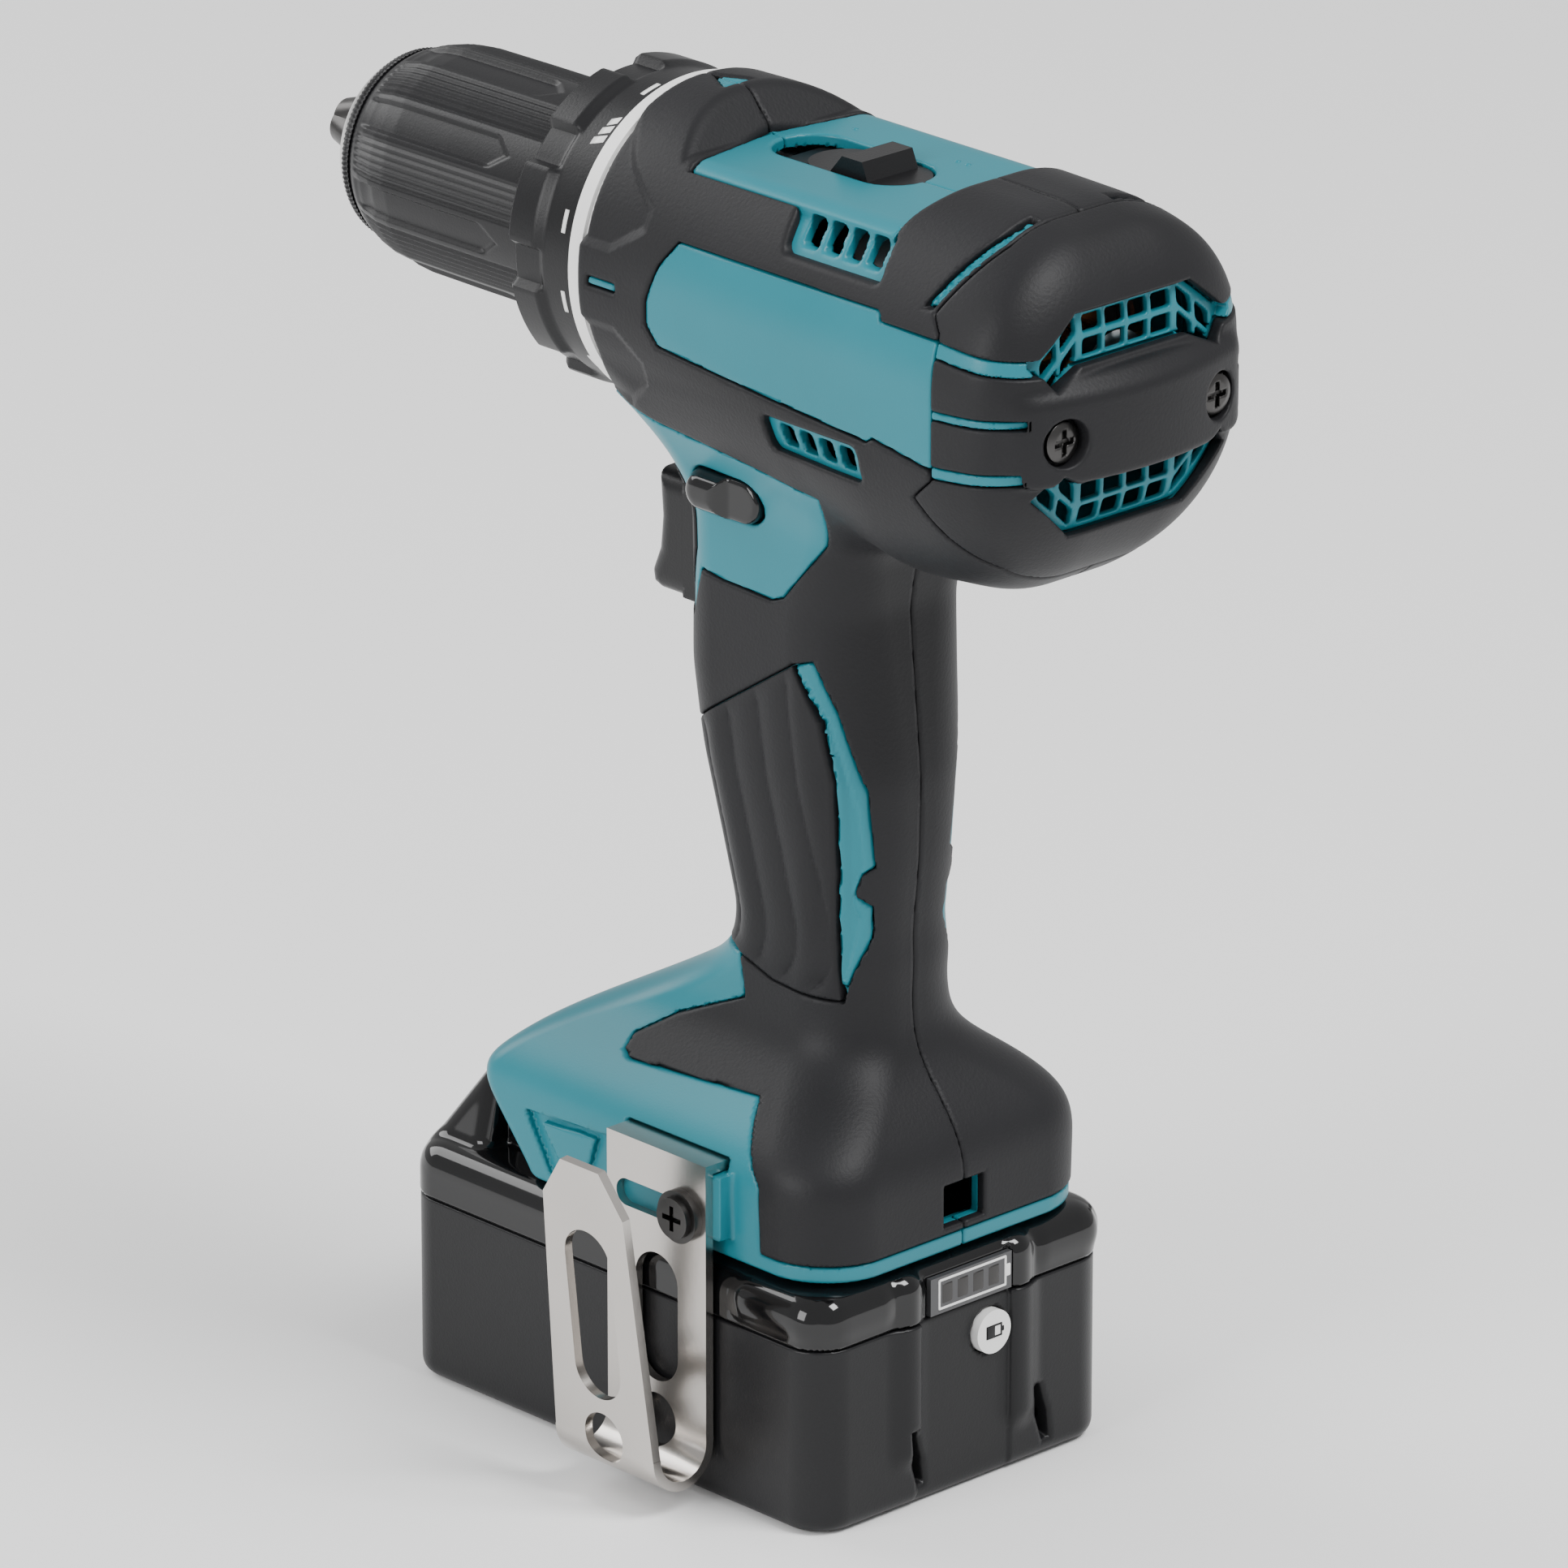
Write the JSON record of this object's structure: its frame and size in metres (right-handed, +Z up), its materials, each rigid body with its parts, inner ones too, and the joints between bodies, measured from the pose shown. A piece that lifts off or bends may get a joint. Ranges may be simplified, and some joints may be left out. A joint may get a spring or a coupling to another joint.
{
  "type": "cordless hammer driver drill",
  "caption": "Pistol-grip cordless hammer driver drill with keyless three-jaw chuck, torque ring, speed selector, trigger, belt clip and a slide-on battery at the foot.",
  "frame": {"origin": "centre of the battery's flat underside", "axes": "+X forward along the spindle towards the chuck, +Y to the tool's left (belt clip side), +Z up"},
  "size_m": [0.21, 0.0965, 0.2535],
  "materials": {
    "teal_plastic": "fine moulded texture",
    "black_rubber": "fine grain rubber overmould",
    "black_plastic": "satin moulded",
    "gloss_black_plastic": "gloss moulded",
    "white_plastic": "satin moulded",
    "satin_steel": "satin",
    "dark_steel": "black oxide",
    "nickel": "nickel plated",
    "gear_steel": "machined",
    "gear_case_alloy": "cast",
    "copper": "wound wire and segments",
    "magnet": "sintered",
    "carbon": "carbon",
    "brass": "stamped",
    "cell_wrap": "shrink wrap over steel",
    "board": "circuit board",
    "clear_plastic": "clear moulded lens",
    "gauge": "printed window"
  },
  "bodies": {
    "tool": {"housing_left": "teal_plastic", "housing_right": "teal_plastic", "overmould_left": "black_rubber", "overmould_right": "black_rubber", "rear_cover": "teal_plastic", "rear_cover_bumper": "black_rubber", "rear_cover_screws": "dark_steel", "housing_screws": "dark_steel", "motor_can": "gear_steel", "motor_magnets": "magnet", "brush_holders": "brass", "carbon_brushes": "carbon", "rear_bearing": "gear_steel", "front_bearing": "gear_steel", "gear_case": "gear_case_alloy", "ring_gear_1": "gear_steel", "spindle_bearing": "gear_steel", "clutch_spring": "gear_steel", "trim_ring": "white_plastic", "trigger_spring": "gear_steel", "switch_body": "black_plastic", "lamp_lens": "clear_plastic", "terminal_block": "black_plastic", "belt_clip": "nickel", "belt_clip_screw": "dark_steel"},
    "rotor": {"motor_shaft": "gear_steel", "armature": "copper", "commutator": "copper", "cooling_fan": "black_plastic"},
    "first_carrier_body": {"first_carrier": "gear_steel"},
    "chuck": {"spindle": "gear_steel", "chuck_body": "dark_steel", "chuck_nose_ring": "satin_steel"},
    "sleeve": {"chuck_sleeve": "black_plastic", "jaw_nut": "gear_steel"},
    "jaw_1": {"chuck_jaw_1": "dark_steel"},
    "jaw_2": {"chuck_jaw_2": "dark_steel"},
    "jaw_3": {"chuck_jaw_3": "dark_steel"},
    "torque_ring_body": {"torque_ring": "black_plastic"},
    "selector": {"speed_selector": "black_plastic", "ring_gear_2": "gear_steel"},
    "trigger_body": {"trigger": "black_plastic"},
    "lever": {"direction_lever": "black_plastic"},
    "battery": {"battery_lower_case": "black_plastic", "battery_upper_case": "gloss_black_plastic", "gauge_window": "gauge", "battery_cells": "cell_wrap", "cell_holder": "black_plastic", "battery_board": "board", "battery_terminals": "brass", "battery_screws": "dark_steel"},
    "release": {"release_button": "black_plastic"},
    "check": {"check_button": "white_plastic"},
    "planet_1_1": {"stage_1_planet_1": "gear_steel"},
    "planet_1_2": {"stage_1_planet_2": "gear_steel"},
    "planet_1_3": {"stage_1_planet_3": "gear_steel"},
    "planet_2_1": {"stage_2_planet_1": "gear_steel"},
    "planet_2_2": {"stage_2_planet_2": "gear_steel"},
    "planet_2_3": {"stage_2_planet_3": "gear_steel"}
  },
  "joints": [
    {"name": "motor_spin", "type": "hinge", "parent": "tool", "child": "rotor", "pos_m": [-0.06, 0, 0.222], "axis": [1, 0, 0], "continuous": true},
    {"name": "first_carrier_spin", "type": "hinge", "parent": "tool", "child": "first_carrier_body", "pos_m": [-0.018, 0, 0.222], "axis": [1, 0, 0], "continuous": true},
    {"name": "spindle_spin", "type": "hinge", "parent": "tool", "child": "chuck", "pos_m": [0.03, 0, 0.222], "axis": [1, 0, 0], "continuous": true},
    {"name": "sleeve_turn", "type": "hinge", "parent": "chuck", "child": "sleeve", "pos_m": [0.06, 0, 0.222], "axis": [1, 0, 0], "range_deg": [0, 3384]},
    {"name": "jaw_1_slide", "type": "slide", "parent": "chuck", "child": "jaw_1", "axis": [-0.9563, 0, 0.2924], "range_m": [0, 0.0188]},
    {"name": "jaw_2_slide", "type": "slide", "parent": "chuck", "child": "jaw_2", "axis": [-0.9563, -0.2532, -0.1462], "range_m": [0, 0.0188]},
    {"name": "jaw_3_slide", "type": "slide", "parent": "chuck", "child": "jaw_3", "axis": [-0.9563, 0.2532, -0.1462], "range_m": [0, 0.0188]},
    {"name": "planet_1_1_spin", "type": "hinge", "parent": "first_carrier_body", "child": "planet_1_1", "pos_m": [-0.0254, 0.01, 0.222], "axis": [1, 0, 0], "continuous": true},
    {"name": "planet_1_2_spin", "type": "hinge", "parent": "first_carrier_body", "child": "planet_1_2", "pos_m": [-0.0254, -0.005, 0.23066], "axis": [1, 0, 0], "continuous": true},
    {"name": "planet_1_3_spin", "type": "hinge", "parent": "first_carrier_body", "child": "planet_1_3", "pos_m": [-0.0254, -0.005, 0.21334], "axis": [1, 0, 0], "continuous": true},
    {"name": "planet_2_1_spin", "type": "hinge", "parent": "chuck", "child": "planet_2_1", "pos_m": [-0.0118, 0.01, 0.222], "axis": [1, 0, 0], "continuous": true},
    {"name": "planet_2_2_spin", "type": "hinge", "parent": "chuck", "child": "planet_2_2", "pos_m": [-0.0118, -0.005, 0.23066], "axis": [1, 0, 0], "continuous": true},
    {"name": "planet_2_3_spin", "type": "hinge", "parent": "chuck", "child": "planet_2_3", "pos_m": [-0.0118, -0.005, 0.21334], "axis": [1, 0, 0], "continuous": true},
    {"name": "torque_ring_turn", "type": "hinge", "parent": "tool", "child": "torque_ring_body", "pos_m": [0.022, 0, 0.222], "axis": [1, 0, 0], "range_deg": [0, 300]},
    {"name": "speed_selector_slide", "type": "slide", "parent": "tool", "child": "selector", "axis": [1, 0, 0], "range_m": [0, 0.008]},
    {"name": "trigger_pull", "type": "slide", "parent": "tool", "child": "trigger_body", "axis": [-1, 0, 0], "range_m": [0, 0.0065], "stiffness_N_per_m": 1200, "springref_m": -0.002, "deforming": ["trigger_spring"]},
    {"name": "direction_lever_slide", "type": "slide", "parent": "tool", "child": "lever", "axis": [0, 1, 0], "range_m": [-0.003, 0.003]},
    {"name": "battery_slide", "type": "slide", "parent": "tool", "child": "battery", "axis": [1, 0, 0], "range_m": [0, 0.13]},
    {"name": "release_button_press", "type": "slide", "parent": "battery", "child": "release", "axis": [0, 0, -1], "range_m": [0, 0.004], "stiffness_N_per_m": 900, "springref_m": -0.001},
    {"name": "check_button_press", "type": "slide", "parent": "battery", "child": "check", "axis": [1, 0, 0], "range_m": [0, 0.0008], "stiffness_N_per_m": 1500, "springref_m": -0.0003}
  ],
  "couplings": [
    {"joint": "first_carrier_spin", "follows": "motor_spin", "ratio": 0.175},
    {"joint": "spindle_spin", "follows": "motor_spin", "ratio": 0.030625},
    {"joint": "jaw_1_slide", "follows": "sleeve_turn", "m_per_rad": 0.00031831},
    {"joint": "jaw_2_slide", "follows": "sleeve_turn", "m_per_rad": 0.00031831},
    {"joint": "jaw_3_slide", "follows": "sleeve_turn", "m_per_rad": 0.00031831},
    {"joint": "planet_1_1_spin", "follows": "motor_spin", "ratio": -0.44423},
    {"joint": "planet_1_2_spin", "follows": "motor_spin", "ratio": -0.44423},
    {"joint": "planet_1_3_spin", "follows": "motor_spin", "ratio": -0.44423},
    {"joint": "planet_2_1_spin", "follows": "motor_spin", "ratio": -0.07774},
    {"joint": "planet_2_2_spin", "follows": "motor_spin", "ratio": -0.07774},
    {"joint": "planet_2_3_spin", "follows": "motor_spin", "ratio": -0.07774}
  ]
}
